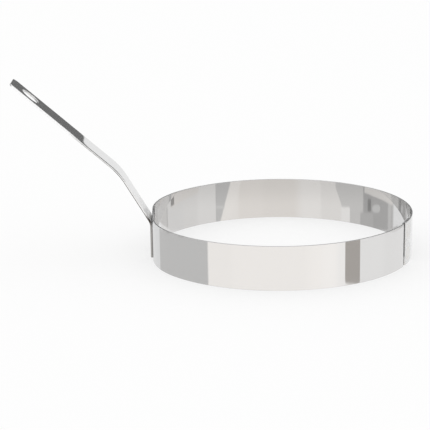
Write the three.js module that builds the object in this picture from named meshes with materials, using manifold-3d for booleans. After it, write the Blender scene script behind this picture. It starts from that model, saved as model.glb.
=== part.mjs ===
// Egg ring with a strip handle.
// A polished stainless strip is rolled into a round band, lapped on itself at a joggled seam
// and spot-welded. A second strip, bent twice, is spot-welded to a flat pressed into the band.
// Millimetres, +Z up. The band stands on z = 0 and the handle points along -X.
// The origin is the middle of the whole outline, on the surface that the band stands on.

import * as THREE from 'three';
import { mergeVertices } from 'three/addons/utils/BufferGeometryUtils.js';
import Module from 'manifold-3d';

// Sizes of the band
const bandRadius = 77.0; // outside of the round
const bandHeight = 24.7;
const bandWall = 0.8;

// Sizes of the flat that the handle is welded to
const flatDepth = 3.45; // how far the flat lies inside the round
const flatMargin = 0.4; // flat to each side of the handle

// Sizes of the lapped seam
const seamAngle = THREE.MathUtils.degToRad(-27.2); // end of the outer layer, from +X
const joggleLength = 3.6; // run of the set-down that brings the inner layer under the outer
const lapLength = 11.0; // inner layer under the outer layer
const lapClearance = 0.1; // between the two layers, away from the welds
const seamGap = 0.15; // between the outer layer's end and the start of the joggle

// Sizes of the handle
const handleWidth = 19.05;
const handleThickness = 1.2;
const legHeight = 20.8; // from the foot to the corner of the first bend
const slantLength = 34.2; // between the corners of the two bends
const gripLength = 79.5; // from the corner of the second bend to the end
const slantAngle = THREE.MathUtils.degToRad(59.5); // above the horizontal
const gripAngle = THREE.MathUtils.degToRad(41.5);
const legBendRadius = 7.0; // at the middle of the strip's thickness
const gripBendRadius = 40.0;
const tipCornerRadius = 2.6;
const footCornerRadius = 1.2;

// Sizes of the hanging hole
const holeDiameter = 11.5;
const holeSetback = 13.6; // centre of the hole from the end of the grip

// Sizes of the spot welds
const nuggetDiameter = 4.2;
const nuggetDepthShare = 0.38; // of each sheet's thickness, from the face where the sheets meet
const nuggetRimShare = 0.72; // flat part of the lens, of its radius
const nuggetClearance = 0.04; // lens to the metal round it
const weldEdgeDistance = 6.0; // lowest weld above the bottom edge, and the seam's upper one below the top
const handleWeldPitch = 8.8; // between the two welds of the handle
const dentDiameter = 5.6; // mark that the welding electrode leaves
const dentDepth = 0.1;
const dentFloorShare = 0.65; // deepest part of the mark, of its diameter
const dentFloorDepthShare = 0.8; // depth where the floor begins to rise, of the whole depth

// Fineness and the overrun of every cut
const arcStep = THREE.MathUtils.degToRad(2);
const bendStep = THREE.MathUtils.degToRad(2.5);
const joggleSteps = 10;
const cornerSteps = 8;
const samePoint = 0.001; // points of a centre line nearer than this are one
const sameVertex = 0.00001; // and vertices of a mesh
const lensSides = 24;
const holeSides = 48;
const overrun = 1.0;

const quarterTurn = Math.PI / 2;
const steel = {
  band: { color: 0xdcdcda, roughness: 0.12, metalness: 1.0 },
  handle: { color: 0xd2d2ce, roughness: 0.18, metalness: 1.0 },
  weld: { color: 0xa9a7a2, roughness: 0.45, metalness: 1.0 },
};

// Solids that can be joined and cut
const wasm = await Module();
wasm.setup();

function toSolid(geometry) {
  const bare = geometry.clone();
  bare.deleteAttribute('normal');
  bare.deleteAttribute('uv');
  const merged = mergeVertices(bare, sameVertex);
  return new wasm.Manifold(new wasm.Mesh({
    numProp: 3,
    vertProperties: new Float32Array(merged.attributes.position.array),
    triVerts: new Uint32Array(merged.index.array),
  }));
}

function toGeometry(solid) {
  const mesh = solid.getMesh();
  const geometry = new THREE.BufferGeometry();
  geometry.setAttribute('position', new THREE.BufferAttribute(new Float32Array(mesh.vertProperties), 3));
  geometry.setIndex(new THREE.BufferAttribute(new Uint32Array(mesh.triVerts), 1));
  return geometry;
}

function cutAway(geometry, cutters) {
  let solid = toSolid(geometry);
  for (const cutter of cutters) {
    solid = solid.subtract(toSolid(cutter));
  }
  return toGeometry(solid);
}

function steelPiece(name, geometry, finish) {
  const faceted = geometry.index ? geometry.toNonIndexed() : geometry;
  faceted.computeVertexNormals();
  const piece = new THREE.Mesh(faceted, new THREE.MeshStandardMaterial(finish));
  piece.name = name;
  return piece;
}

// Centre lines of bent strip
function arcPoints(centreX, centreY, radius, from, to, step = arcStep) {
  const count = Math.max(2, Math.ceil(Math.abs(to - from) / step));
  const points = [];
  for (let i = 0; i <= count; i += 1) {
    const angle = from + (to - from) * (i / count);
    points.push(new THREE.Vector2(centreX + radius * Math.cos(angle), centreY + radius * Math.sin(angle)));
  }
  return points;
}

function withoutRepeats(points) {
  const kept = [points[0]];
  for (const point of points) {
    if (point.distanceTo(kept[kept.length - 1]) > samePoint) {
      kept.push(point);
    }
  }
  return kept;
}

// Closed outline of a strip of even thickness, mitred at every point of its centre line
function stripOutline(centreLine, thickness) {
  const left = [];
  const right = [];
  centreLine.forEach((point, i) => {
    const before = centreLine[Math.max(i - 1, 0)];
    const after = centreLine[Math.min(i + 1, centreLine.length - 1)];
    const into = point.clone().sub(before);
    const out = after.clone().sub(point);
    if (i === 0) {
      into.copy(out);
    }
    if (i === centreLine.length - 1) {
      out.copy(into);
    }
    into.normalize();
    out.normalize();
    const mitre = new THREE.Vector2(-into.y - out.y, into.x + out.x).normalize();
    const reach = thickness / 2 / (mitre.x * -into.y + mitre.y * into.x);
    left.push(point.clone().addScaledVector(mitre, reach));
    right.push(point.clone().addScaledVector(mitre, -reach));
  });
  return new THREE.Shape([...left, ...right.reverse()]);
}

// Spot-weld lens between two sheets: its axis is +Z, and the sheets meet at z = 0
function nuggetLens(depthBelow, depthAbove, gap, grow) {
  const radius = nuggetDiameter / 2 + grow;
  const flatRadius = radius * nuggetRimShare;
  const profile = [
    new THREE.Vector2(0, -depthBelow - grow),
    new THREE.Vector2(flatRadius, -depthBelow - grow),
    new THREE.Vector2(radius, 0),
    new THREE.Vector2(radius, gap),
    new THREE.Vector2(flatRadius, gap + depthAbove + grow),
    new THREE.Vector2(0, gap + depthAbove + grow),
  ].filter((point, i, all) => i === 0 || point.distanceTo(all[i - 1]) > 0);
  return new THREE.LatheGeometry(profile, lensSides).rotateX(quarterTurn);
}

// Shallow round-bottomed mark of the electrode: it sinks into the face z = 0, from above
function electrodeDent() {
  const profile = [
    new THREE.Vector2(0, -dentDepth),
    new THREE.Vector2((dentDiameter / 2) * dentFloorShare, -dentDepth * dentFloorDepthShare),
    new THREE.Vector2(dentDiameter / 2, 0),
    new THREE.Vector2(dentDiameter / 2, overrun),
    new THREE.Vector2(0, overrun),
  ];
  return new THREE.LatheGeometry(profile, lensSides).rotateX(quarterTurn);
}

// Turns +Z to a level direction and moves a cutter or lens to its place
function faceAlong(geometry, heading, place) {
  return geometry.rotateY(quarterTurn).rotateZ(heading).translate(place.x, place.y, place.z);
}

// Band: round, with a flat at -X that tangent arcs lead into
const bandLineRadius = bandRadius - bandWall / 2;
const flatReach = bandRadius - flatDepth;
const flatHalf = handleWidth / 2 + flatMargin;
const leadRadius = (bandRadius ** 2 - flatReach ** 2 - flatHalf ** 2) / (2 * flatDepth);
const leadCentre = flatReach - leadRadius;
const leadAngle = Math.atan2(flatHalf, leadCentre);
const leadLineRadius = leadRadius - bandWall / 2;
const lapDrop = bandWall + lapClearance;
const lapLineRadius = bandLineRadius - lapDrop;
const seamGapAngle = seamGap / bandRadius;
const joggleAngle = joggleLength / bandRadius;
const lapAngle = lapLength / bandRadius;
const fullTurn = 2 * Math.PI;

const joggleStart = fullTurn + seamAngle - seamGapAngle - joggleAngle;
const lapStart = joggleStart + joggleAngle;

// Set-down of one wall and the clearance, as a smooth S
function jogglePoints() {
  const points = [];
  for (let i = 1; i < joggleSteps; i += 1) {
    const share = i / joggleSteps;
    const eased = share * share * (3 - 2 * share);
    const angle = joggleStart + joggleAngle * share;
    const radius = bandLineRadius - lapDrop * eased;
    points.push(new THREE.Vector2(radius * Math.cos(angle), radius * Math.sin(angle)));
  }
  return points;
}

function bandCentreLine() {
  return withoutRepeats([
    ...arcPoints(0, 0, bandLineRadius, seamAngle, 0),
    ...arcPoints(0, 0, bandLineRadius, 0, Math.PI - leadAngle),
    ...arcPoints(-leadCentre, flatHalf, leadLineRadius, Math.PI - leadAngle, Math.PI),
    ...arcPoints(-leadCentre, -flatHalf, leadLineRadius, Math.PI, Math.PI + leadAngle),
    ...arcPoints(0, 0, bandLineRadius, Math.PI + leadAngle, joggleStart),
    ...jogglePoints(),
    ...arcPoints(0, 0, lapLineRadius, lapStart, lapStart + seamGapAngle + lapAngle),
  ]);
}

// Places of the welds: two on the flat, two in the middle of the lap
const seamWeldAngle = seamAngle + lapAngle / 2;
const flatWeldPlaces = [weldEdgeDistance, weldEdgeDistance + handleWeldPitch]
  .map((z) => new THREE.Vector3(-flatReach, 0, z));
function seamPlace(radius, z) {
  return new THREE.Vector3(radius * Math.cos(seamWeldAngle), radius * Math.sin(seamWeldAngle), z);
}
const seamWeldHeights = [weldEdgeDistance, bandHeight - weldEdgeDistance];
const innerLayerFace = bandRadius - lapDrop;
const bandNuggetDepth = bandWall * nuggetDepthShare;
const handleNuggetDepth = handleThickness * nuggetDepthShare;

// A lens on the flat reaches into the band behind it and into the handle in front of it
function flatLens(place, grow) {
  return faceAlong(nuggetLens(bandNuggetDepth, handleNuggetDepth, 0, grow), Math.PI, place);
}

// A lens in the lap reaches into the inner layer, across the clearance, and into the outer layer
function seamLens(z, grow) {
  const lens = nuggetLens(bandNuggetDepth, bandNuggetDepth, lapClearance, grow);
  return faceAlong(lens, seamWeldAngle, seamPlace(innerLayerFace, z));
}

function bandGeometry() {
  const outline = stripOutline(bandCentreLine(), bandWall);
  const strip = new THREE.ExtrudeGeometry(outline, { depth: bandHeight, bevelEnabled: false });
  const innerFlat = new THREE.Vector3(bandWall, 0, 0);
  const cutters = [
    ...flatWeldPlaces.map((place) => flatLens(place, nuggetClearance)),
    ...flatWeldPlaces.map((place) => faceAlong(electrodeDent(), 0, place.clone().add(innerFlat))),
    ...seamWeldHeights.map((z) => seamLens(z, nuggetClearance)),
    ...seamWeldHeights.map((z) => faceAlong(
      electrodeDent(), seamWeldAngle + Math.PI, seamPlace(innerLayerFace - bandWall, z),
    )),
  ];
  return cutAway(strip, cutters);
}

// Handle: centre line in x and z, with a leg against the flat, a slant and a grip
const handleLineReach = flatReach + handleThickness / 2;
const legCorner = new THREE.Vector2(-handleLineReach, legHeight);
const slantHeading = new THREE.Vector2(-Math.cos(slantAngle), Math.sin(slantAngle));
const gripHeading = new THREE.Vector2(-Math.cos(gripAngle), Math.sin(gripAngle));
const gripCorner = legCorner.clone().addScaledVector(slantHeading, slantLength);
const gripEnd = gripCorner.clone().addScaledVector(gripHeading, gripLength);

// Arc of a bend between two straight runs that meet at a corner, turning left
function bendPoints(corner, fromAngle, toAngle, radius) {
  const setback = radius * Math.tan((toAngle - fromAngle) / 2);
  const heading = new THREE.Vector2(Math.cos(fromAngle), Math.sin(fromAngle));
  const start = corner.clone().addScaledVector(heading, -setback);
  const centreX = start.x - radius * heading.y;
  const centreY = start.y + radius * heading.x;
  return arcPoints(centreX, centreY, radius, fromAngle - quarterTurn, toAngle - quarterTurn, bendStep);
}

function handleCentreLine() {
  const slantTurn = Math.PI - slantAngle;
  const gripTurn = Math.PI - gripAngle;
  return [
    new THREE.Vector2(-handleLineReach, 0),
    ...bendPoints(legCorner, quarterTurn, slantTurn, legBendRadius),
    ...bendPoints(gripCorner, slantTurn, gripTurn, gripBendRadius),
    gripEnd.clone(),
  ];
}

// Waste outside one rounded corner: the corner is at the origin, the piece in the +X +Y quarter
function cornerWaste(radius, depth) {
  const waste = new THREE.Shape();
  waste.moveTo(-overrun, -overrun);
  waste.lineTo(radius, -overrun);
  waste.lineTo(radius, 0);
  waste.absarc(radius, radius, radius, -quarterTurn, -Math.PI, true);
  waste.lineTo(-overrun, radius);
  waste.closePath();
  const block = new THREE.ExtrudeGeometry(waste, { depth, bevelEnabled: false, curveSegments: cornerSteps });
  return block.translate(0, 0, -depth / 2);
}

// Both corners of one end of the strip: inward is the strip's heading away from that end
function endCorners(endPoint, inward, radius) {
  const along = new THREE.Vector3(inward.x, 0, inward.y);
  return [-1, 1].map((side) => {
    const across = new THREE.Vector3(0, -side, 0);
    const through = new THREE.Vector3().crossVectors(along, across);
    const place = new THREE.Matrix4().makeBasis(along, across, through);
    place.setPosition(endPoint.x, side * handleWidth / 2, endPoint.y);
    return cornerWaste(radius, handleThickness + 2 * overrun).applyMatrix4(place);
  });
}

function hangingHole() {
  const centre = gripEnd.clone().addScaledVector(gripHeading, -holeSetback);
  const length = handleThickness + 2 * overrun;
  const drill = new THREE.CylinderGeometry(holeDiameter / 2, holeDiameter / 2, length, holeSides);
  return drill.rotateX(quarterTurn).rotateY(gripAngle).translate(centre.x, 0, centre.y);
}

function handleGeometry() {
  const outline = stripOutline(handleCentreLine(), handleThickness);
  const strip = new THREE.ExtrudeGeometry(outline, { depth: handleWidth, bevelEnabled: false });
  strip.rotateX(quarterTurn).translate(0, handleWidth / 2, 0);
  const foot = new THREE.Vector2(-handleLineReach, 0);
  const outerFace = new THREE.Vector3(-handleThickness, 0, 0);
  const cutters = [
    ...endCorners(gripEnd, gripHeading.clone().negate(), tipCornerRadius),
    ...endCorners(foot, new THREE.Vector2(0, 1), footCornerRadius),
    hangingHole(),
    ...flatWeldPlaces.map((place) => flatLens(place, nuggetClearance)),
    ...flatWeldPlaces.map((place) => faceAlong(electrodeDent(), Math.PI, place.clone().add(outerFace))),
  ];
  return cutAway(strip, cutters);
}

// The assembly
const eggRing = new THREE.Group();
eggRing.add(steelPiece('ring_band', bandGeometry(), steel.band));
eggRing.add(steelPiece('handle_strip', handleGeometry(), steel.handle));
const levels = ['lower', 'upper'];
levels.forEach((level, i) => {
  eggRing.add(steelPiece(`handle_weld_${level}`, flatLens(flatWeldPlaces[i], 0), steel.weld));
  eggRing.add(steelPiece(`seam_weld_${level}`, seamLens(seamWeldHeights[i], 0), steel.weld));
});

// The round of the band is set off the origin, so that the origin is the middle of the whole
const handleReach = -gripEnd.x + (handleThickness / 2) * Math.sin(gripAngle);
eggRing.position.x = (handleReach - bandRadius) / 2;

export default eggRing;
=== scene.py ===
import math

import bmesh
import bpy
from mathutils import Matrix, Vector


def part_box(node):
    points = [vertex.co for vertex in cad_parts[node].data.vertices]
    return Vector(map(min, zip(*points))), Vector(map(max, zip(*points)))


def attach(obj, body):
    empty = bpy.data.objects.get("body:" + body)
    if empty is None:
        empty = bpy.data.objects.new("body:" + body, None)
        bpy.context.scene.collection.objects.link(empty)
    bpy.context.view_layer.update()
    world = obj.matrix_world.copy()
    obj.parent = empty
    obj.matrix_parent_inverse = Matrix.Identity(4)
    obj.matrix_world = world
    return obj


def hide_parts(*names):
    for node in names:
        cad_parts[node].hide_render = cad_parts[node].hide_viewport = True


# The egg ring is rigid, so all of it rides on one body
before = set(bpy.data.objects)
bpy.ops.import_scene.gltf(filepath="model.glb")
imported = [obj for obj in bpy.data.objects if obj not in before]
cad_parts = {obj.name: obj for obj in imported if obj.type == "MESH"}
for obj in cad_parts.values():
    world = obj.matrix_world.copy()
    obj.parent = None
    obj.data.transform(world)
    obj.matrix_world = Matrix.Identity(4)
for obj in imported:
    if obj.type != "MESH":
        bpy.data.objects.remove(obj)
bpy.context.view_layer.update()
root = "root"


# The studio's camera: a long lens a little above the ring, turned left so that the handle fits in.
# Its place and turns were fitted to the rims and the handle, about the middle of the band.
ring_low, ring_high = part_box("ring_band")
ring_radius = (ring_high.y - ring_low.y) / 2
ring_centre = Vector((ring_high.x - ring_radius, 0, ring_high.z / 2))

camera_distance = 0.87605
camera_heading = math.radians(-4.01)
camera_height_angle = math.radians(15.451)
turn_left = math.radians(2.437)
turn_up = math.radians(0.595)
turn_over = math.radians(-0.217)
frame_width_px = 430
focal_length_px = 1502.1
sensor_width_mm = 36.0

camera_data = bpy.data.cameras.new("camera")
camera_data.sensor_width = sensor_width_mm
camera_data.lens = sensor_width_mm * focal_length_px / frame_width_px
camera = bpy.data.objects.new("camera", camera_data)
bpy.context.scene.collection.objects.link(camera)
bpy.context.scene.camera = camera
towards_ring = (
    Matrix.Rotation(camera_heading, 4, "Z")
    @ Matrix.Rotation(math.radians(90) - camera_height_angle, 4, "X")
)
own_turns = (
    Matrix.Rotation(turn_left, 4, "Y")
    @ Matrix.Rotation(turn_up, 4, "X")
    @ Matrix.Rotation(turn_over, 4, "Z")
)
step_back = Matrix.Translation((0, 0, camera_distance))
camera.matrix_world = Matrix.Translation(ring_centre) @ towards_ring @ step_back @ own_turns


# The studio's light: one even white for everything but mirrors. Polished steel shows what stands
# round it, so its reflections see cards, a pale screen, dark walls, a white ceiling and a table.
class Wire:
    """One output of a node. Arithmetic on it adds Math nodes, and node() adds any other kind."""

    def __init__(self, tree, socket=None):
        self.tree = tree
        self.socket = socket

    def node(self, kind, output=0, settings=None, inputs=None):
        """Adds a node and gives back one of its outputs. Its stops are a ramp's places and colours."""
        made = self.tree.nodes.new("ShaderNode" + kind)
        for name, value in (settings or {}).items():
            if name == "stops":
                stops = made.color_ramp.elements
                while len(stops) > 1:
                    stops.remove(stops[0])
                stops[0].position, stops[0].color = value[0]
                for position, colour in value[1:]:
                    stops.new(position).color = colour
            else:
                setattr(made, name, value)
        for name, value in (inputs or {}).items():
            if isinstance(value, Wire):
                self.tree.links.new(value.socket, made.inputs[name])
            else:
                made.inputs[name].default_value = value
        return Wire(self.tree, made.outputs[output] if len(made.outputs) else None)

    def maths(self, operation, *terms):
        return self.node("Math", 0, {"operation": operation}, dict(enumerate(terms)))

    def __add__(self, other):
        return self.maths("ADD", self, other)

    def __sub__(self, other):
        return self.maths("SUBTRACT", self, other)

    def __mul__(self, other):
        return self.maths("MULTIPLY", self, other)

    def __truediv__(self, other):
        return self.maths("DIVIDE", self, other)

    def __neg__(self):
        return self.maths("MULTIPLY", self, -1.0)

    def __abs__(self):
        return self.maths("ABSOLUTE", self)

    def __rsub__(self, other):
        return self.maths("SUBTRACT", other, self)

    def __rtruediv__(self, other):
        return self.maths("DIVIDE", other, self)

    __radd__ = __add__
    __rmul__ = __mul__

    def over(self, floor):
        """This value, or floor where this is lower."""
        return self.maths("MAXIMUM", self, floor)

    def rise(self, low, high):
        """0 below low, 1 above high, and a smooth step between them."""
        span = {"Value": self, "From Min": low, "From Max": high}
        return self.node("MapRange", 0, {"interpolation_type": "SMOOTHSTEP"}, span)

    def axes(self):
        return [self.node("SeparateXYZ", axis, None, {"Vector": self}) for axis in "XYZ"]

    def blend(self, first, second):
        """first where this is 0, second where it is 1: both are colours or colour outputs."""
        factor, colour_a, colour_b, mixed_colour = 0, 6, 7, 2
        colours = {factor: self, colour_a: first, colour_b: second}
        return self.node("Mix", mixed_colour, {"data_type": "RGBA"}, colours)


def grey(level, warmth=0.0):
    """A neutral tone, or a warm one with a little more red and less blue."""
    return (level * (1 + warmth), level, level * (1 - warmth), 1.0)


# Two rows of cards stand one above the other, each card from its angle on round the ring: 0 is the
# camera's side, 90 is right. The outside of the band shows the low row, and the inside shows the
# high one. The second number is how soft the card's left edge is. All are in degrees.
low_row = [
    (-180, 8, grey(0.79)),
    (-136.9, 0.5, grey(0.575, 0.01)),
    (-66.5, 0.5, grey(0.98, 0.035)),
    (-44, 4, grey(1.0, 0.035)),
    (21, 8, grey(1.03, 0.035)),
    (32, 6, grey(1.05, 0.03)),
    (46, 5, grey(1.0, 0.02)),
    (62, 0.5, grey(0.89, 0.01)),
    (97, 4, grey(0.865, 0.01)),
    (129, 3, grey(0.84, 0.01)),
    (138, 3, grey(0.91)),
]
high_row = [
    (-180, 10, grey(0.60)),
    (-160, 3, grey(0.83)),
    (-128.1, 0.6, grey(0.52, 0.015)),
    (-124.3, 1.2, grey(0.575, 0.015)),
    (-119.6, 0.8, grey(0.42, 0.015)),
    (-97, 2, grey(0.40, 0.015)),
    (-87, 0.6, grey(0.62, 0.02)),
    (-57, 0.6, grey(0.82, 0.03)),
    (-43, 2, grey(0.88, 0.03)),
    (-22, 8, grey(0.80, 0.05)),
    (10, 5, grey(0.82, 0.05)),
    (33, 2, grey(0.87, 0.04)),
    (56, 0.5, grey(0.80, 0.02)),
    (76, 3, grey(0.76, 0.02)),
    (93, 5, grey(0.74, 0.015)),
    (121.3, 1, grey(0.64, 0.02)),
]

# The high row starts where the low one ends, a little higher behind the ring than in front of it,
# and falls into shade towards its top
row_edge_height = -15.45
row_edge_rise = 0.0125
row_edge_rises_from = 116
shade_from, shade_full = -14.7, -13.5
shade_strength = 0.16

# Single cards in front of the rows: their sides round the ring and their ends up and down, all in
# degrees. A lean moves the sides over as they rise, and a tilt raises the ends towards the right.
# The cards are wide and low, so heights are stretched before a corner is rounded.
card_stretch = 25
card_softness = 0.3
single_cards = [
    {"sides": (53.5, 68.4), "ends": (-17.55, -15.6), "corner": 3.2, "colour": grey(0.385, 0.075)},
    {"sides": (-61.5, -48), "ends": (-15.6, -13), "lean": 8.4, "colour": grey(0.82, 0.03)},
    {"sides": (-72, -63), "ends": (-15.6, -14.58), "colour": grey(0.88, 0.02)},
    {"sides": (41, 56), "ends": (-15.6, -13), "colour": grey(0.575, 0.015)},
    {"sides": (36, 45.8), "ends": (-15.6, -13), "lean": -6.5, "colour": grey(0.89, 0.04)},
    {"sides": (47, 56), "ends": (-14.62, -14.5), "colour": grey(0.66, 0.015)},
    {"sides": (-108.2, -97.6), "ends": (-14.77, -14.45), "corner": 4, "colour": grey(0.59, 0.01)},
    {"sides": (-99, -83.5), "ends": (-15.6, -14.79), "colour": grey(0.47, 0.015)},
    {"sides": (-96, -92), "ends": (-14.73, -14.23), "colour": grey(0.23, 0.02)},
    {"sides": (-127, -88), "ends": (-14.216, -13), "tilt": 0.013, "colour": grey(0.735, 0.035)},
    {"sides": (74, 113), "ends": (-14.24, -13), "tilt": -0.0165, "colour": grey(0.74, 0.04)},
    {"sides": (120.3, 122.4), "ends": (-15.3, -14.5), "colour": grey(0.53, 0.02)},
    {"sides": (106.3, 113), "ends": (-14.43, -13.6), "tilt": -0.0124, "colour": grey(0.31, 0.03)},
]

# Above the cards stands a pale screen with two darker stretches. Its top edge, which the grip
# shows as a sharp line, steps down once. Over it come the walls of the room and a white ceiling.
screen = [
    (-180, 6, grey(0.91)),
    (-158, 6, grey(0.50)),
    (-112, 8, grey(0.97)),
    (38, 8, grey(0.52, 0.01)),
    (78, 8, grey(0.915)),
]
screen_from, screen_full = -13.3, -12.7
far_walls = [
    (-180, 14, grey(0.14)),
    (-128, 14, grey(0.45)),
    (-60, 14, grey(0.85, 0.01)),
    (146, 10, grey(0.14)),
]
screen_top, screen_top_softness = 5.137, 0.05
screen_step = 0.544
screen_step_from, screen_step_to = 168.21, 169.11
ceiling_tone = grey(1.0)
ceiling_from, ceiling_full = 30, 46

# The table lies below the cards. Its angles are counted downwards.
table_tone = grey(0.86, 0.008)
table_from, table_full = 27, 48

# Two dark boards, one high and one low: the handle's rounded edges show them as thin dark lines
dark_boards = [
    {"sides": (20, 150), "ends": (20, 46)},
    {"sides": (-110, -10), "ends": (-47, -30), "tilt": 0.2},
]
board_tone = grey(0.05)


def stops_round(row):
    """Ramp stops for a row of cards or walls that goes once round the ring."""
    ends = [card[:2] for card in row[1:]] + [(180, 0)]
    stops = []
    for (start, edge, colour), (end, next_edge) in zip(row, ends):
        from_share = (start + edge / 2 + 180) / 360
        to_share = (end - next_edge / 2 + 180) / 360
        stops += [(from_share, colour), (to_share, colour)]
    return stops


def card_shape(azimuth, elevation, sides, ends, corner=0.8, lean=0.0, tilt=0.0):
    """1 on a card with rounded corners and 0 round it."""
    middle, half_width = (sides[0] + sides[1]) / 2, (sides[1] - sides[0]) / 2
    centre, half_height = (ends[0] + ends[1]) / 2, (ends[1] - ends[0]) / 2
    off_side = azimuth - middle
    off_end = elevation - centre
    out_side = abs(off_side - off_end * lean) - (half_width - corner)
    out_end = abs(off_end - off_side * tilt) * card_stretch - (half_height * card_stretch - corner)
    beyond_side = out_side.over(0.0)
    beyond_end = out_end.over(0.0)
    reach = azimuth.maths("SQRT", beyond_side * beyond_side + beyond_end * beyond_end)
    return 1 - reach.rise(corner - card_softness, corner + card_softness)


world = bpy.data.worlds.new("studio")
world.use_nodes = True
world.node_tree.nodes.clear()
bpy.context.scene.world = world
sky = Wire(world.node_tree)
degree = math.radians(1)
right, back, up = sky.node("TexCoord", "Generated").axes()
azimuth = sky.maths("ARCTAN2", right, -back) / degree
elevation = sky.maths("ARCSINE", up) / degree
round_share = azimuth / 360 + 0.5
low, high, pale, walls = (
    sky.node("ValToRGB", 0, {"stops": stops_round(row)}, {0: round_share})
    for row in (low_row, high_row, screen, far_walls)
)
from_camera = abs(azimuth - math.degrees(camera_heading))
row_edge = row_edge_height + row_edge_rise * (from_camera - row_edge_rises_from).over(0.0)
row_softness = card_softness / card_stretch
mirrored = (elevation - row_edge).rise(-row_softness, row_softness).blend(low, high)
for card in single_cards:
    shape = card_shape(azimuth, elevation, **{key: card[key] for key in card if key != "colour"})
    mirrored = shape.blend(mirrored, card["colour"])
shade = elevation.rise(shade_from, shade_full) * shade_strength
mirrored = shade.blend(mirrored, grey(0.0))
mirrored = elevation.rise(screen_from, screen_full).blend(mirrored, pale)
step_down = azimuth.rise(screen_step_from, screen_step_to) * screen_step
over_screen = elevation + step_down - screen_top
mirrored = over_screen.rise(-screen_top_softness, screen_top_softness).blend(mirrored, walls)
mirrored = elevation.rise(ceiling_from, ceiling_full).blend(mirrored, ceiling_tone)
mirrored = (-elevation).rise(table_from, table_full).blend(mirrored, table_tone)
for board in dark_boards:
    mirrored = card_shape(azimuth, elevation, **board).blend(mirrored, board_tone)
seen_in_steel = sky.node("LightPath", "Is Glossy Ray")
studio_light = seen_in_steel.blend(grey(1.0), mirrored)
background = sky.node("Background", 0, None, {"Color": studio_light, "Strength": 1.0})
sky.node("OutputWorld", 0, None, {"Surface": background})


def new_paint(name):
    """An empty material, and a wire to add its nodes with."""
    paint = bpy.data.materials.new(name)
    paint.use_nodes = True
    paint.node_tree.nodes.clear()
    return paint, Wire(paint.node_tree)


# The floor: a plain white sweep, which glows a little so that it looks as pale as the room. It
# keeps a soft shadow. The steel reflects the table and the cards in its place.
floor_half = 4.0
floor_albedo = 0.97
floor_glow_share = 0.6
bm = bmesh.new()
bmesh.ops.create_grid(bm, x_segments=1, y_segments=1, size=floor_half)
floor_mesh = bpy.data.meshes.new("floor")
bm.to_mesh(floor_mesh)
bm.free()
floor = bpy.data.objects.new("floor", floor_mesh)
bpy.context.scene.collection.objects.link(floor)
floor_paint, sweep = new_paint("floor_white")
matt = sweep.node("BsdfDiffuse", 0, None, {"Color": grey(floor_albedo)})
glow = sweep.node("Emission", 0, None, {"Color": grey(1.0), "Strength": 1.0})
glow_share = sweep.node("LightPath", "Is Camera Ray") * floor_glow_share
both = sweep.node("MixShader", 0, None, {0: glow_share, 1: matt, 2: glow})
sweep.node("OutputMaterial", 0, None, {"Surface": both})
floor_mesh.materials.append(floor_paint)
floor.visible_glossy = False


# The band: one strip of polished stainless steel, rolled round and lapped on itself at a joggle.
# It is pressed flat where the handle sits, and its sheared edges are only lightly rounded.
band_wall = 0.0008
seam_angle = math.radians(-27.2)
joggle_length = 0.0036
lap_length = 0.011
lap_clearance = 0.0001
seam_gap = 0.00015
flat_half = 0.009925
edge_round = 0.00013
edge_segments = 3
round_profile = 0.5
roll_step = math.radians(0.5)
bend_step = math.radians(3)
lap_step = math.radians(0.3)
fewest_steps = 2
flat_steps = 48

flat_reach = ring_centre.x - ring_low.x
flat_depth = ring_radius - flat_reach
lead_radius = (ring_radius**2 - flat_reach**2 - flat_half**2) / (2 * flat_depth)
lead_centre = flat_reach - lead_radius
lead_angle = math.atan2(flat_half, lead_centre)
line_radius = ring_radius - band_wall / 2
lap_radius = line_radius - band_wall - lap_clearance
joggle_turn = joggle_length / ring_radius
last_turn = math.tau + seam_angle - seam_gap / ring_radius - joggle_turn - (math.pi + lead_angle)

# Both bends of the joggle have one radius, so that they meet and end in line with the two rounds
drop = line_radius - lap_radius
cosine = math.cos(joggle_turn)
square_term = 2 * (1 - cosine)
linear_term = 2 * drop * (1 + cosine)
constant_term = line_radius**2 + lap_radius**2 - 2 * line_radius * lap_radius * cosine
root_term = math.sqrt(linear_term**2 + 4 * square_term * constant_term)
joggle_radius = (root_term - linear_term) / (2 * square_term)


def rolled(bm, section, centre, angle, step):
    """Bends the strip on about an upright axis, from its open end, and returns its new end."""
    steps = max(fewest_steps, math.ceil(abs(angle) / step))
    spun = bmesh.ops.spin(
        bm, geom=section, cent=centre, axis=(0, 0, 1), angle=angle, steps=steps, use_duplicate=False
    )
    return spun["geom_last"]


def fed_straight(bm, section, length, steps):
    """Feeds the strip on without a bend, towards -Y, and returns its new end."""
    for _ in range(steps):
        edges = [part for part in section if isinstance(part, bmesh.types.BMEdge)]
        grown = bmesh.ops.extrude_edge_only(bm, edges=edges)["geom"]
        section = [part for part in grown if not isinstance(part, bmesh.types.BMFace)]
        ahead = [part for part in grown if isinstance(part, bmesh.types.BMVert)]
        bmesh.ops.translate(bm, verts=ahead, vec=(0, -length / steps, 0))
    return section


def at_angle(radius, angle):
    """A place or a direction in plan: angle 0 is +X, the side away from the handle."""
    return Vector((radius * math.cos(angle), radius * math.sin(angle), 0))


def sliced(bm, faces, normal, places):
    """Cuts faces across at each place along normal, so that they can be shaped there."""
    for place in places:
        parts = [face for face in faces if face.is_valid]
        parts += list({edge for face in parts for edge in face.edges})
        parts += list({vert for face in parts for vert in face.verts})
        cut = bmesh.ops.bisect_plane(bm, geom=parts, plane_co=normal * place, plane_no=normal)
        faces = [part for part in cut["geom"] if isinstance(part, bmesh.types.BMFace)]
    return faces


def places_between(low, high, step):
    """Even places from low to high, no more than step apart."""
    count = math.ceil((high - low) / step)
    return [low + (high - low) * i / count for i in range(count + 1)]


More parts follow.
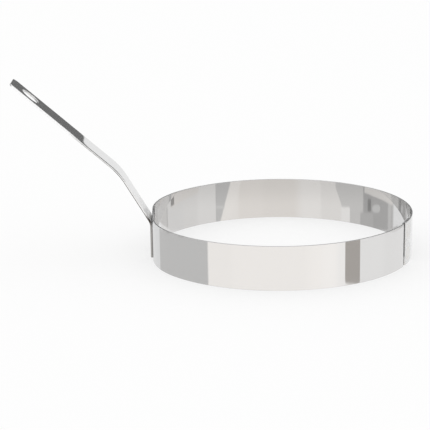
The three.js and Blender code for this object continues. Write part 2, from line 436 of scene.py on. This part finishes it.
# A welding electrode leaves a shallow round mark with a level floor. The faces that it presses lie
# flat on, so their normals point nearly straight at it.
dent_radius = 0.0028
dent_depth = 0.0001
dent_floor_share = 0.45
dent_grid = 0.0004
facing_share = 0.99


def dented(faces, centre, into_metal):
    """Sinks the mark of an electrode into finely cut faces."""
    for vert in {vert for face in faces for vert in face.verts}:
        reach = (vert.co - centre).length / dent_radius
        fall = min(1, max(0, (1 - reach) / (1 - dent_floor_share)))
        vert.co += into_metal * dent_depth * fall * fall * (3 - 2 * fall)


# How strongly a large flat face holds its own normal against the narrow rounds beside it
flats_weight = 100


def as_piece(bm, name):
    """Turns a finished bmesh into a smooth object whose flats keep their own normals."""
    bmesh.ops.recalc_face_normals(bm, faces=bm.faces)
    mesh = bpy.data.meshes.new(name)
    for face in bm.faces:
        face.smooth = True
    bm.to_mesh(mesh)
    bm.free()
    piece = bpy.data.objects.new(name, mesh)
    bpy.context.scene.collection.objects.link(piece)
    piece.modifiers.new("flats", "WEIGHTED_NORMAL").weight = flats_weight
    return piece


# Start of the strip: its section at the seam, with the long edges rounded
bm = bmesh.new()
corners = [
    bm.verts.new((radius, 0, height))
    for radius, height in (
        (ring_radius - band_wall, 0),
        (ring_radius, 0),
        (ring_radius, ring_high.z),
        (ring_radius - band_wall, ring_high.z),
    )
]
bm.faces.new(corners)
bmesh.ops.bevel(
    bm, geom=corners, affect="VERTICES",
    offset=edge_round, segments=edge_segments, profile=round_profile, material=-1,
)
bmesh.ops.rotate(bm, verts=bm.verts, cent=(0, 0, 0), matrix=Matrix.Rotation(seam_angle, 3, "Z"))
section = list(bm.edges)
bmesh.ops.delete(bm, geom=list(bm.faces), context="FACES_ONLY")

# The strip is rolled on about one bend after another, and its two ends are closed
middle = Vector((0, 0, 0))
lead_left = Vector((-lead_centre, flat_half, 0))
lead_right = Vector((-lead_centre, -flat_half, 0))
joggle_start = math.pi + lead_angle + last_turn
first_bend = at_angle(line_radius - joggle_radius, joggle_start)
second_bend = at_angle(lap_radius + joggle_radius, joggle_start + joggle_turn)
bend_angle = first_bend.angle(second_bend - first_bend)
lap_turn = (seam_gap + lap_length) / ring_radius
section = rolled(bm, section, middle, math.pi - lead_angle - seam_angle, roll_step)
section = rolled(bm, section, lead_left, lead_angle, roll_step)
section = fed_straight(bm, section, 2 * flat_half, flat_steps)
section = rolled(bm, section, lead_right, lead_angle, roll_step)
section = rolled(bm, section, middle, last_turn, roll_step)
section = rolled(bm, section, first_bend, bend_angle, bend_step)
section = rolled(bm, section, second_bend, joggle_turn - bend_angle, bend_step)
rolled(bm, section, middle, lap_turn, lap_step)
bmesh.ops.edgeloop_fill(bm, edges=[edge for edge in bm.edges if edge.is_boundary])
bmesh.ops.recalc_face_normals(bm, faces=bm.faces)

# Electrode marks inside the ring, where it was welded to the handle and to itself
weld_edge_distance = 0.006
handle_weld_pitch = 0.0088
handle_weld_heights = [weld_edge_distance, weld_edge_distance + handle_weld_pitch]
seam_weld_heights = [weld_edge_distance, ring_high.z - weld_edge_distance]
seam_weld_angle = seam_angle + lap_length / ring_radius / 2
seam_weld_out = at_angle(1, seam_weld_angle)
flat_face = Vector((-flat_reach + band_wall, 0, 0))
lap_face = seam_weld_out * (lap_radius - band_wall / 2)
upward = Vector((0, 0, 1))
for face_middle, into_metal, heights in (
    (flat_face, Vector((-1, 0, 0)), handle_weld_heights),
    (lap_face, seam_weld_out, seam_weld_heights),
):
    near = [
        face for face in bm.faces
        if face.normal.dot(-into_metal) > facing_share
        and (face.calc_center_median() - face_middle).xy.length < dent_radius + dent_grid
    ]
    for height in heights:
        rows = places_between(height - dent_radius, height + dent_radius, dent_grid)
        near = sliced(bm, near, upward, rows)
        dented(near, face_middle + upward * height, into_metal)
bmesh.ops.translate(bm, verts=bm.verts, vec=(ring_centre.x, 0, 0))
band = as_piece(bm, "polished_band")

# Strip steel: a mirror polish, with fine rolling lines along the strip, faint smudges and waves
metal_share = 0.92
mirror_roughness = 0.016
line_roughness, line_depth, line_detail = 0.010, 2e-8, 3.0
smudge_roughness, smudge_scale, smudge_detail = 0.012, 55, 4.0
smudge_from, smudge_full = 0.52, 0.75
wave_scale, wave_depth, wave_detail = 42, 4e-6, 1.0

# Round each spot weld the steel was brushed clean, and a faint straw tint is left
brushed_roughness = 0.3
brushed_metal_share = 0.35
straw_tint = (0.70, 0.60, 0.43, 1.0)
straw_strength = 0.2
straw_from, straw_to = 0.0030, 0.0050


def noise(steel, place, scale, detail):
    """Soft blotches from 0 to 1. A higher scale makes them smaller."""
    return steel.node("TexNoise", 0, None, {"Vector": place, "Scale": scale, "Detail": detail})


def shine_steel(steel, tone, line_stretch, cleaned, edges, edge_tone, edge_roughness, edge_metal):
    """Polished strip steel. cleaned has places and reaches, and edges is 1 on the cut edges."""
    place = steel.node("TexCoord", "Object")
    stretched = steel.node("VectorMath", 0, {"operation": "MULTIPLY"}, {0: place, 1: line_stretch})
    lines = noise(steel, stretched, 1.0, line_detail)
    smudges = noise(steel, place, smudge_scale, smudge_detail)
    waves = noise(steel, place, wave_scale, wave_detail)
    roughness = mirror_roughness + lines * line_roughness
    roughness = roughness + smudges.rise(smudge_from, smudge_full) * smudge_roughness
    colour = tone
    brushed = 0.0
    for centre, reach in cleaned:
        away = steel.node("VectorMath", "Value", {"operation": "DISTANCE"}, {0: place, 1: centre})
        brushed = (1 - away.rise(reach / 2, reach)).over(brushed)
        straw = away.rise(straw_from / 2, straw_from) * (1 - away.rise(straw_from, straw_to))
        colour = (straw * straw_strength).blend(colour, straw_tint)
    roughness = roughness.over(brushed * brushed_roughness)
    metallic = metal_share + brushed * (brushed_metal_share - metal_share)
    metallic = metallic + edges * (edge_metal - metallic)
    colour = edges.blend(colour, edge_tone)
    roughness = roughness + edges * (edge_roughness - roughness)
    relief = waves * wave_depth + lines * line_depth
    bumped = steel.node("Bump", 0, None, {"Strength": 1.0, "Distance": 1.0, "Height": relief})
    shading = {"Base Color": colour, "Metallic": metallic, "Roughness": roughness, "Normal": bumped}
    shine = steel.node("BsdfPrincipled", 0, None, shading)
    steel.node("OutputMaterial", 0, None, {"Surface": shine})


# Band steel: the rims are sheared and a little dull. The strip's end at the seam is left raw: the
# shears cut its outer part and its foot bright, and the rest is dull broken steel painted near black,
# as painted shade of the gap in the seam.
band_tone = grey(0.80)
# The raw end's tone is near black: dull broken steel with painted shade of the seam's gap on it
rim_tone, raw_end_and_gap_shade_tone = grey(0.72), grey(0.11)
bright_cut_from, bright_cut_full = 0.55, 0.40
bright_foot_full, bright_foot_to = 0.0035, 0.0060
sheared_roughness = 0.3
band_lines = (20, 20, 3500)
handle_clean_reach, seam_clean_reach = 0.016, 0.009
band_paint, steel = new_paint("band_steel")
from_axis = steel.node(
    "VectorMath", 0, {"operation": "SUBTRACT"},
    {0: steel.node("TexCoord", "Object"), 1: (ring_centre.x, 0, 0)},
)
x, y, height = from_axis.axes()
top_rim = height.rise(ring_high.z - edge_round, ring_high.z - edge_round / 2)
rims = top_rim.over(1 - height.rise(edge_round / 2, edge_round))
past_end = y * math.cos(seam_angle) - x * math.sin(seam_angle)
out_from_axis = x * math.cos(seam_angle) + y * math.sin(seam_angle)
inner_face = lap_radius + band_wall / 2
outer_layer = out_from_axis.rise(inner_face, inner_face + lap_clearance)
bright_cut = out_from_axis.rise(
    ring_radius - band_wall * bright_cut_from, ring_radius - band_wall * bright_cut_full
)
bright_cut = bright_cut.over(1 - height.rise(bright_foot_full, bright_foot_to))
at_end = 1 - abs(past_end).rise(edge_round / 2, edge_round)
# Painted shade: the dark part of the seam's end stands in for the shadow in the gap between the layers
raw_end_and_gap_shade = outer_layer * (1 - bright_cut) * at_end
band_edges = raw_end_and_gap_shade.over(rims)
band_edge_tone = raw_end_and_gap_shade.blend(rim_tone, raw_end_and_gap_shade_tone)
handle_weld_line = Vector((ring_low.x, 0, 0))
seam_weld_line = Vector((ring_centre.x, 0, 0)) + seam_weld_out * lap_radius
band_cleaned = [
    (weld_line + upward * weld_height, reach)
    for weld_line, reach, weld_heights in (
        (handle_weld_line, handle_clean_reach, handle_weld_heights),
        (seam_weld_line, seam_clean_reach, seam_weld_heights),
    )
    for weld_height in weld_heights
]
shine_steel(
    steel, band_tone, band_lines, band_cleaned,
    band_edges, band_edge_tone, sheared_roughness, metal_share,
)
band.data.materials.append(band_paint)
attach(band, root)
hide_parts("ring_band")


# The handle: one flat strip of the same steel. It is cut to its outline, pierced with a hanging
# hole and deburred while flat, then bent at the band's rim and again at the start of the grip.
handle_low, handle_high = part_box("handle_strip")
handle_width = handle_high.y - handle_low.y
handle_thickness = 0.0012
leg_height = 0.0208
slant_length = 0.0342
grip_length = 0.0795
slant_slope, grip_slope = 59.5, 41.5
leg_turn = math.radians(90 - slant_slope)
grip_turn = math.radians(slant_slope - grip_slope)
leg_bend_radius = 0.007
grip_bend_radius = 0.040
leg_steps = 90
grip_steps = 72
tip_corner_radius = 0.0026
foot_corner_radius = 0.0012
corner_segments = 10
handle_edge_round = 0.00045
square_edge = math.radians(60)
hole_radius = 0.00575
hole_setback = 0.0136
hole_edge_round = 0.0002
hole_steps = 96
hole_room = 0.0095

leg_setback = leg_bend_radius * math.tan(leg_turn / 2)
grip_setback = grip_bend_radius * math.tan(grip_turn / 2)
leg_bend_from = leg_height - leg_setback
leg_bend_to = leg_bend_from + leg_bend_radius * leg_turn
grip_bend_from = leg_bend_to + slant_length - leg_setback - grip_setback
grip_bend_to = grip_bend_from + grip_bend_radius * grip_turn
blank_length = grip_bend_to + grip_length - grip_setback
leg_line_x = ring_low.x - handle_thickness / 2
hole_height = blank_length - hole_setback

bm = bmesh.new()
bmesh.ops.create_cube(bm, size=1)
bmesh.ops.scale(bm, vec=(handle_thickness, handle_width, blank_length), verts=bm.verts)
bmesh.ops.translate(bm, vec=(leg_line_x, 0, blank_length / 2), verts=bm.verts)
for at_tip, radius in ((True, tip_corner_radius), (False, foot_corner_radius)):
    across_edges = [
        edge for edge in bm.edges
        if abs(edge.verts[0].co.x - edge.verts[1].co.x) > handle_thickness / 2
        and all((vert.co.z > blank_length / 2) == at_tip for vert in edge.verts)
    ]
    bmesh.ops.bevel(
        bm, geom=across_edges, affect="EDGES",
        offset=radius, segments=corner_segments, profile=round_profile, material=-1,
    )
outer_edges = [edge for edge in bm.edges if edge.calc_face_angle() > square_edge]
bmesh.ops.bevel(
    bm, geom=outer_edges, affect="EDGES",
    offset=handle_edge_round, segments=edge_segments, profile=round_profile, material=-1,
)


def bend_places(start, end, steps):
    """Places of the small bends that make up one bend, along the flat strip."""
    return [start + (end - start) * (i + 0.5) / steps for i in range(steps)]


leg_places = bend_places(leg_bend_from, leg_bend_to, leg_steps)
grip_places = bend_places(grip_bend_from, grip_bend_to, grip_steps)
sliced(bm, list(bm.faces), upward, leg_places + grip_places + [hole_height - hole_room])

# Hanging hole: its rounded wall is spun, and joined to both faces of the strip
tip_faces = [
    face for face in bm.faces
    if abs(face.normal.x) > facing_share and face.calc_center_median().z > hole_height - hole_room
]
outlines = [(face.normal.x, list(face.edges)) for face in tip_faces]
bmesh.ops.delete(bm, geom=tip_faces, context="FACES_ONLY")
wall = []
for side in (1, -1):
    for i in range(edge_segments + 1):
        turn = math.radians(90) * (i / edge_segments if side > 0 else 1 - i / edge_segments)
        depth = side * (handle_thickness / 2 - hole_edge_round * (1 - math.cos(turn)))
        radius = hole_radius + hole_edge_round * (1 - math.sin(turn))
        wall.append(bm.verts.new((leg_line_x + depth, radius, hole_height)))
wall_edges = [bm.edges.new(pair) for pair in zip(wall, wall[1:])]
bmesh.ops.spin(
    bm, geom=wall + wall_edges, cent=(leg_line_x, 0, hole_height), axis=(1, 0, 0),
    angle=math.tau, steps=hole_steps, use_merge=True, use_duplicate=False,
)
same_level = 0.00002
for facing, outline in outlines:
    face_x = leg_line_x + math.copysign(handle_thickness / 2, facing)
    rim = [
        edge for edge in bm.edges
        if edge.is_boundary and edge not in outline
        and all(abs(vert.co.x - face_x) < same_level for vert in edge.verts)
    ]
    bmesh.ops.triangle_fill(bm, use_beauty=True, edges=outline + rim, normal=(facing, 0, 0))
bmesh.ops.recalc_face_normals(bm, faces=bm.faces)

# Electrode marks on the leg
leg_face = Vector((leg_line_x - handle_thickness / 2, 0, 0))
near = [
    face for face in bm.faces
    if face.normal.x < -facing_share and face.calc_center_median().z < leg_bend_from
]
near = sliced(bm, near, Vector((0, 1, 0)), places_between(-dent_radius, dent_radius, dent_grid))
for height in handle_weld_heights:
    rows = places_between(height - dent_radius, height + dent_radius, dent_grid)
    near = sliced(bm, near, upward, rows)
    dented(near, leg_face + upward * height, Vector((1, 0, 0)))

# Bends, from the far one to the near one. Each small bend turns all that lies beyond it, apart from
# what is no further off than bend_room.
bend_room = 0.000045
for places, turn in ((grip_places, grip_turn), (leg_places, leg_turn)):
    for place in reversed(places):
        beyond = [vert for vert in bm.verts if vert.co.z > place + bend_room]
        bend = Matrix.Rotation(-turn / len(places), 3, "Y")
        bmesh.ops.rotate(bm, verts=beyond, cent=(leg_line_x, 0, place), matrix=bend)
handle = as_piece(bm, "bent_handle")

# Handle steel: the long edges are as polished as the faces above the band's rim, and towards the
# grip's end they are painted white and not metal, a painted sheen. Beside the band they are dull,
# with dark brown painted shade in the crevice where the leg leaves it. The leg was brushed clean at
# its welds, and the first bend is rubbed.
handle_tone = grey(0.77)
handle_lines = (20, 3500, 20)
polished_edge_roughness = 0.03
polished_edge_tone, leg_edge_tone = grey(0.92), grey(0.45, 0.02)
# Painted shade: a near-black brown on the edges where the leg bends away from the band's rim
painted_crevice_shade = (0.085, 0.074, 0.065, 1.0)
crevice_shade_low, crevice_shade_full, crevice_shade_to = 0.0185, 0.0225, 0.0275
# Painted sheen: towards the grip's end the edges turn white and non-metal, so they look bright
# whatever they reflect
painted_sheen_tone = grey(1.0)
painted_sheen_from, painted_sheen_full = 0.067, 0.077
leg_clean_reach, bend_rub_reach = 0.008, 0.022
handle_paint, steel = new_paint("handle_steel")
across_handle, height = steel.node("TexCoord", "Object").axes()[1:]
flat_half_width = handle_width / 2 - handle_edge_round
handle_edges = abs(across_handle).rise(flat_half_width, flat_half_width + handle_edge_round / 2)
above_band = height.rise(crevice_shade_full, crevice_shade_to)
crevice_shaded = height.rise(crevice_shade_low, crevice_shade_full)
# Painted sheen on the edges, from the middle of the grip to its end
painted_sheen = height.rise(painted_sheen_from, painted_sheen_full)
# Edge colour: dull beside the band, painted crevice shade at its rim, polished above it, and a painted
# sheen towards the grip's end
edge_tone = above_band.blend(crevice_shaded.blend(leg_edge_tone, painted_crevice_shade), polished_edge_tone)
edge_tone = painted_sheen.blend(edge_tone, painted_sheen_tone)
edge_roughness = sheared_roughness + above_band * (polished_edge_roughness - sheared_roughness)
edge_metal = metal_share * (1 - painted_sheen)
leg_cleaned = [
    (handle_weld_line + upward * weld_height, leg_clean_reach)
    for weld_height in handle_weld_heights
]
bend_rubbed = (handle_weld_line + upward * leg_height, bend_rub_reach)
shine_steel(
    steel, handle_tone, handle_lines, leg_cleaned + [bend_rubbed],
    handle_edges, edge_tone, edge_roughness, edge_metal,
)
handle.data.materials.append(handle_paint)
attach(handle, root)
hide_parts("handle_strip")


# The spot welds: lenses of fused metal between the sheets, two at the handle and two in the lap.
# Their cast skin is matt and slightly mottled. They keep their CAD solids, which hardly show.
weld_tone, weld_stain = grey(0.60, 0.02), (0.46, 0.41, 0.34, 1.0)
weld_grain_scale, weld_grain_detail = 900, 3.0
weld_roughness, weld_roughness_spread = 0.3, 0.2
weld_paint, steel = new_paint("weld_metal")
grain = noise(steel, steel.node("TexCoord", "Object"), weld_grain_scale, weld_grain_detail)
shading = {
    "Base Color": grain.blend(weld_tone, weld_stain),
    "Metallic": 1.0,
    "Roughness": weld_roughness + grain * weld_roughness_spread,
}
skin = steel.node("BsdfPrincipled", 0, None, shading)
steel.node("OutputMaterial", 0, None, {"Surface": skin})
for name in ("handle_weld_lower", "handle_weld_upper", "seam_weld_lower", "seam_weld_upper"):
    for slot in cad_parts[name].material_slots:
        slot.material = weld_paint


bpy.context.scene.view_settings.view_transform = "Standard"
